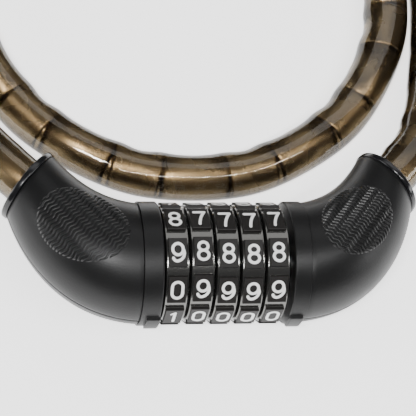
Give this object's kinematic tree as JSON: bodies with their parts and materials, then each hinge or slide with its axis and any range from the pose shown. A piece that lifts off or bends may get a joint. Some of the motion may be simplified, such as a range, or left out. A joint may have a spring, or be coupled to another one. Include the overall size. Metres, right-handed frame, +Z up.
{
  "type": "cable combination lock",
  "caption": "Armoured cable combination lock with number dials on a curved body and a sleeved steel cable wound in two turns",
  "frame": {"origin": "under the middle of the lock body's box, on the resting surface, cable left out", "axes": "+X along the dial axis towards the bolt's withdrawal, +Y from the lock body towards the cable loop, +Z up"},
  "size_m": [0.2319, 0.2589, 0.0455],
  "materials": {
    "housing_black": "satin soft-touch",
    "ring_black": "gloss",
    "dial_black": "matte facets, gloss notches",
    "numeral_white": "satin",
    "brass": "turned",
    "hardened_steel": "ground",
    "zinc": "cast",
    "steel_rope": "stranded",
    "nickel_sleeve": "satin bronze nickel",
    "clear_sheath": "smoky clear"
  },
  "bodies": {
    "root": {"left_elbow_upper": "housing_black", "left_elbow_lower": "housing_black", "left_collar": "housing_black", "left_entry_ring": "ring_black", "left_anchor_block": "zinc", "left_ferrule": "zinc", "left_anchor_pin": "hardened_steel", "left_cross_pin": "hardened_steel", "spindle_tube": "hardened_steel", "spacer_washers": "hardened_steel", "detent_leaf_spring": "hardened_steel", "retaining_clip": "hardened_steel", "sheath_main": "clear_sheath", "sheath_end": "clear_sheath", "core_main": "steel_rope", "core_end": "steel_rope", "sleeves_long_main": "nickel_sleeve", "sleeves_short_main": "nickel_sleeve", "sleeves_long_end": "nickel_sleeve", "sleeves_short_end": "nickel_sleeve"},
    "bolt": {"bolt_pin": "hardened_steel", "right_elbow_upper": "housing_black", "right_elbow_lower": "housing_black", "right_collar": "housing_black", "right_entry_ring": "ring_black", "right_anchor_block": "zinc", "right_ferrule": "zinc", "right_anchor_pin": "hardened_steel", "right_cross_pin": "hardened_steel"},
    "dial_1_body": {"dial_1": "dial_black", "numerals_1": "numeral_white", "code_ring_1": "brass"},
    "dial_2_body": {"dial_2": "dial_black", "numerals_2": "numeral_white", "code_ring_2": "brass"},
    "dial_3_body": {"dial_3": "dial_black", "numerals_3": "numeral_white", "code_ring_3": "brass"},
    "dial_4_body": {"dial_4": "dial_black", "numerals_4": "numeral_white", "code_ring_4": "brass"},
    "dial_5_body": {"dial_5": "dial_black", "numerals_5": "numeral_white", "code_ring_5": "brass"}
  },
  "joints": [
    {"name": "bolt_slide", "type": "slide", "parent": "root", "child": "bolt", "axis": [1, 0, 0], "range_m": [0, 0.054], "deforming": ["sheath_end", "core_end", "sleeves_long_end", "sleeves_short_end"]},
    {"name": "dial_1_turn", "type": "hinge", "parent": "root", "child": "dial_1_body", "pos_m": [-0.01808, -0.00965, 0.0227], "axis": [1, 0, 0], "continuous": true},
    {"name": "dial_2_turn", "type": "hinge", "parent": "root", "child": "dial_2_body", "pos_m": [-0.00888, -0.00965, 0.0227], "axis": [1, 0, 0], "continuous": true},
    {"name": "dial_3_turn", "type": "hinge", "parent": "root", "child": "dial_3_body", "pos_m": [0.00032, -0.00965, 0.0227], "axis": [1, 0, 0], "continuous": true},
    {"name": "dial_4_turn", "type": "hinge", "parent": "root", "child": "dial_4_body", "pos_m": [0.00952, -0.00965, 0.0227], "axis": [1, 0, 0], "continuous": true},
    {"name": "dial_5_turn", "type": "hinge", "parent": "root", "child": "dial_5_body", "pos_m": [0.01872, -0.00965, 0.0227], "axis": [1, 0, 0], "continuous": true}
  ]
}
